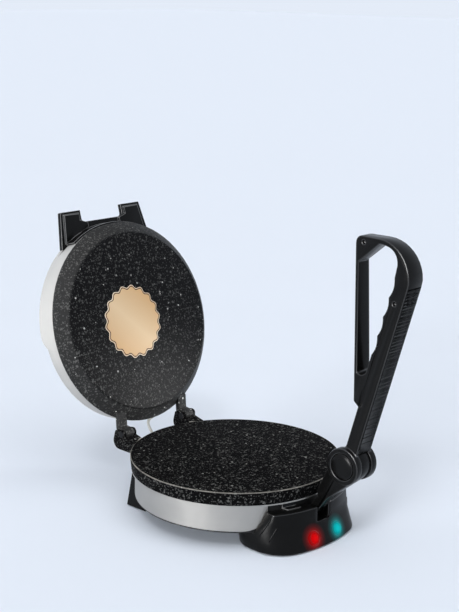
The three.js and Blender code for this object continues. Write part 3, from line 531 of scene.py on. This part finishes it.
# Nodes whose small facets would otherwise narrow their soft edges to nothing
unclamped = {"lid_fork", "handle", "press_arm", "hub_cap_left", "hub_cap_right", "front_housing"}

edge_segments = 2
weld_distance = 0.01 * mm
crease_angle = math.radians(35)
flat_angle = math.radians(0.6)


def soften(node, name, width, look):
    bevel = node.modifiers.new("soft edges", "BEVEL")
    bevel.width = width
    bevel.segments = edge_segments
    bevel.limit_method = "ANGLE"
    bevel.angle_limit = crease_angle
    bevel.use_clamp_overlap = name not in unclamped
    if look:
        bevel.material = len(node.data.materials)
        node.data.materials.append(look)


def dress(name):
    node = nodes[name]
    node.data.materials.clear()
    node.data.materials.append(looks[name])
    normals = node.data.attributes.get("custom_normal")
    if normals:
        node.data.attributes.remove(normals)
    node.data.shade_smooth()
    weld = node.modifiers.new("weld", "WELD")
    weld.merge_threshold = weld_distance
    flat = node.modifiers.new("flat faces", "DECIMATE")
    flat.decimate_type = "DISSOLVE"
    flat.angle_limit = flat_angle
    if name in edges:
        soften(node, name, *edges[name])
    split = node.modifiers.new("creases", "EDGE_SPLIT")
    split.split_angle = crease_angle


for node_name in looks:
    dress(node_name)


# Small pieces of the scene


def mesh_object(name, vertices, faces, material):
    mesh = bpy.data.meshes.new(name)
    mesh.from_pydata(vertices, [], faces)
    mesh.update()
    piece = bpy.data.objects.new(name, mesh)
    bpy.context.scene.collection.objects.link(piece)
    piece.data.materials.append(material)
    return piece


# The badge on the upper plate: a scalloped edge, a thin line and a plain middle

badge_radius = 42 * mm
badge_scallops = 18
scallop_points = 12
badge_depth = 3.2 * mm
badge_thickness = 0.3 * mm
badge_gap = 0.05 * mm
badge_step = 0.15 * mm
badge_x = -11 * mm
badge_layers = (
    ("badge_edge", 0.0 * mm, pale_gold),
    ("badge_line", 1.0 * mm, bronze),
    ("badge", 2.3 * mm, gold),
)


def scallop(radius, index, count):
    angle = 2 * math.pi * index / count
    swell = (1 + math.cos(angle * badge_scallops)) / 2
    reach = radius - badge_depth * (1 - swell)
    return reach * math.cos(angle), reach * math.sin(angle)


# One layer of the badge: it is drawn below the face of the closed lid and then turned open with it
def badge_plate(name, radius, material, lift):
    count = badge_scallops * scallop_points
    outline = [scallop(radius, index, count) for index in range(count)]
    vertices = [(x, y, z) for z in (-lift, -lift - badge_thickness) for x, y in outline]
    faces = [tuple(range(count)), tuple(range(2 * count - 1, count - 1, -1))]
    for index in range(count):
        following = (index + 1) % count
        faces.append((index, count + index, count + following, following))
    piece = mesh_object(name, vertices, faces, material)
    aside = Matrix.Translation((badge_x, 0, 0))
    piece.data.transform(Matrix.Translation(upper_centre) @ lid_turn @ aside)
    piece.data.update()
    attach(piece, "lid")


for layer, (layer_name, inset, foil_look) in enumerate(badge_layers):
    badge_plate(layer_name, badge_radius - inset, foil_look, badge_gap + layer * badge_step)


# Two slanted ribs on each flank of the front housing, laid on the surface that carries them. Each
# runs from one (y, z) place to another and is thinner at its ends.

rib_radius = 1.0 * mm
rib_sides = 8
rib_steps = 8
rib_end_share = 0.12
rib_ends = (
    ("inner_rib", (-104.0 * mm, 38.0 * mm), (-94.5 * mm, 18.5 * mm)),
    ("outer_rib", (-110.0 * mm, 30.0 * mm), (-105.0 * mm, 14.5 * mm)),
)


def flank_rib(name, side, start, end):
    surface = surface_of("front_housing")
    along = Vector((0, end[0] - start[0], end[1] - start[1])).normalized()
    vertices = []
    for step in range(rib_steps + 1):
        share = step / rib_steps
        y, z = (a + (b - a) * share for a, b in zip(start, end))
        outside = Vector((side * far_off, y, z))
        place, normal = surface.ray_cast(outside, Vector((-side, 0, 0)))[:2]
        taper = math.sin(math.pi * (rib_end_share + (1 - 2 * rib_end_share) * share))
        radius = rib_radius * math.sqrt(taper)
        across = normal.cross(along).normalized()
        for corner in range(rib_sides):
            angle = 2 * math.pi * corner / rib_sides
            vertices.append(place + radius * (math.cos(angle) * across + math.sin(angle) * normal))
    count = len(vertices)
    faces = [tuple(range(rib_sides - 1, -1, -1)), tuple(range(count - rib_sides, count))]
    for low in range(0, rib_steps * rib_sides, rib_sides):
        high = low + rib_sides
        for corner in range(rib_sides):
            following = (corner + 1) % rib_sides
            faces.append((low + corner, low + following, high + following, high + corner))
    piece = mesh_object(name, vertices, faces, moulding)
    piece.data.shade_smooth()
    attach(piece, "base")


for rib_name, rib_start, rib_end in rib_ends:
    flank_rib(rib_name + "_left", -1, rib_start, rib_end)
    flank_rib(rib_name + "_right", 1, rib_start, rib_end)


# Floor, world, lamps and camera

spot_fade = 1.0
spot_radius = 100.0 * mm


def make_floor():
    half = floor_half
    corners = [(-half, -half, 0), (half, -half, 0), (half, half, 0), (-half, half, 0)]
    material, tree, shader = new_material("floor")
    shader.inputs["Base Color"].default_value = (*floor_color, 1.0)
    shader.inputs["Roughness"].default_value = floor_roughness
    shader.inputs["Specular IOR Level"].default_value = 0.0
    mesh_object("floor", corners, [(0, 1, 2, 3)], material)


# The object is lit by a plain sky; the camera, gloss and glass see the pale backdrop instead
def make_world():
    world = bpy.data.worlds.new("studio")
    bpy.context.scene.world = world
    world.use_nodes = True
    tree = world.node_tree
    tree.nodes.clear()
    seen = add_node(tree, "ShaderNodeBackground")
    seen.inputs["Color"].default_value = (*backdrop_color, 1.0)
    lit = add_node(tree, "ShaderNodeBackground")
    lit.inputs["Strength"].default_value = sky_strength
    split = add_node(tree, "ShaderNodeSeparateXYZ")
    coordinates = add_node(tree, "ShaderNodeTexCoord")
    link(tree, coordinates.outputs["Generated"], split.inputs[0])
    link(tree, ramp(tree, split.outputs["Z"], sky_tones), lit.inputs["Color"])
    rays = add_node(tree, "ShaderNodeLightPath").outputs
    direct = math_node(tree, "MAXIMUM", rays["Is Camera Ray"], rays["Is Glossy Ray"])
    shown = math_node(tree, "MAXIMUM", direct, rays["Is Transmission Ray"])
    mix = add_node(tree, "ShaderNodeMixShader")
    feed(tree, mix.inputs, (shown, lit.outputs[0], seen.outputs[0]))
    output = add_node(tree, "ShaderNodeOutputWorld")
    link(tree, mix.outputs[0], output.inputs["Surface"])


# Direction from the object towards a lamp or the camera, azimuth 0 being the front
def direction(azimuth, elevation):
    turn, rise = math.radians(azimuth), math.radians(elevation)
    level = math.cos(rise)
    return Vector((math.sin(turn) * level, -math.cos(turn) * level, math.sin(rise)))


def add_object(name, data):
    added = bpy.data.objects.new(name, data)
    bpy.context.scene.collection.objects.link(added)
    return added


def face_along(lamp, towards):
    lamp.rotation_euler = towards.to_track_quat("Z", "Y").to_euler()


def make_sun(name, azimuth, elevation, strength, softness):
    light = bpy.data.lights.new(name, "SUN")
    light.energy = strength
    light.angle = math.radians(softness)
    face_along(add_object(name, light), direction(azimuth, elevation))


def make_spot(name, place, target, power, width):
    light = bpy.data.lights.new(name, "SPOT")
    light.energy = power
    light.spot_size = math.radians(width)
    light.spot_blend = spot_fade
    light.shadow_soft_size = spot_radius
    lamp = add_object(name, light)
    lamp.location = place
    face_along(lamp, Vector(place) - Vector(target))


def make_camera():
    turn, roll = math.radians(camera_azimuth), math.radians(camera_roll)
    back = direction(camera_azimuth, camera_elevation)
    level = Vector((math.cos(turn), math.sin(turn), 0))
    above = back.cross(level)
    right = math.cos(roll) * level + math.sin(roll) * above
    up = -math.sin(roll) * level + math.cos(roll) * above
    data = bpy.data.cameras.new("camera")
    data.sensor_width = sensor_mm
    data.lens = focal_pixels / max(photo_width, photo_height) * sensor_mm
    data.clip_start = camera_near
    data.clip_end = camera_far
    place = Matrix((right, up, back)).transposed().to_4x4()
    place.translation = camera_eye
    camera = add_object("camera", data)
    camera.matrix_world = place
    bpy.context.scene.camera = camera


make_floor()
make_world()
make_sun("key", azimuth=-20, elevation=67, strength=0.85, softness=60)
make_sun("crisp", azimuth=-60, elevation=50, strength=0.45, softness=10)
make_sun("left", azimuth=-92, elevation=9, strength=3.8, softness=30)
make_spot("low", place=(0.50, -0.42, 0.11), target=(-0.03, 0.13, 0.05), power=52.0, width=15)
make_spot("side", place=(-1.2, 0.30, 0.10), target=(0.0, 0.15, 0.26), power=22.0, width=14)
make_camera()
bpy.context.scene.view_settings.view_transform = "Standard"
